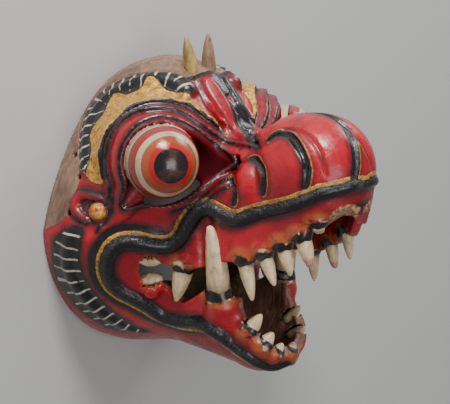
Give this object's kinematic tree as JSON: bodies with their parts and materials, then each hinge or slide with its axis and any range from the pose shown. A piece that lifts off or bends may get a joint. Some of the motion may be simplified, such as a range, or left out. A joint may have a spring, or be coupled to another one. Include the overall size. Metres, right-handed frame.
{
  "type": "naga dance mask",
  "caption": "Carved and painted wooden serpent mask with bulging eyes, long snout, open fanged jaws and small horns, hollow behind for the wearer's face.",
  "frame": {"origin": "centre of the bounding box in X and Y, on the plane of the flat back rim that the mask lies on", "axes": "+X to the mask's own left, +Y up the face from the chin to the horns, +Z out of the face along the snout"},
  "size_m": [0.1987, 0.2365, 0.2149],
  "materials": {
    "painted_wood": "glossy red, black and gold paint over light wood, worn",
    "gilded_wood": "dull ochre gilding over wood",
    "bare_wood": "bare brown wood",
    "tooth": "cream tooth and tusk, waxy, stained at the roots"
  },
  "bodies": {
    "root": {"mask_body": "painted_wood", "horn_right": "gilded_wood", "horn_left": "bare_wood", "upper_molar_right": "tooth", "upper_fang_right": "tooth", "upper_tooth_right_1": "tooth", "upper_tooth_right_2": "tooth", "upper_tooth_right_3": "tooth", "upper_tooth_right_4": "tooth", "upper_tooth_right_5": "tooth", "lower_molar_right": "tooth", "lower_tooth_right_1": "tooth", "lower_tooth_right_2": "tooth", "lower_tooth_right_3": "tooth", "lower_tooth_right_4": "tooth", "lower_tusk_right": "tooth", "upper_molar_left": "tooth", "upper_fang_left": "tooth", "upper_tooth_left_1": "tooth", "upper_tooth_left_2": "tooth", "upper_tooth_left_3": "tooth", "lower_molar_left": "tooth", "lower_tooth_left_1": "tooth", "lower_tooth_left_2": "tooth", "lower_tusk_left": "tooth"}
  },
  "joints": []
}
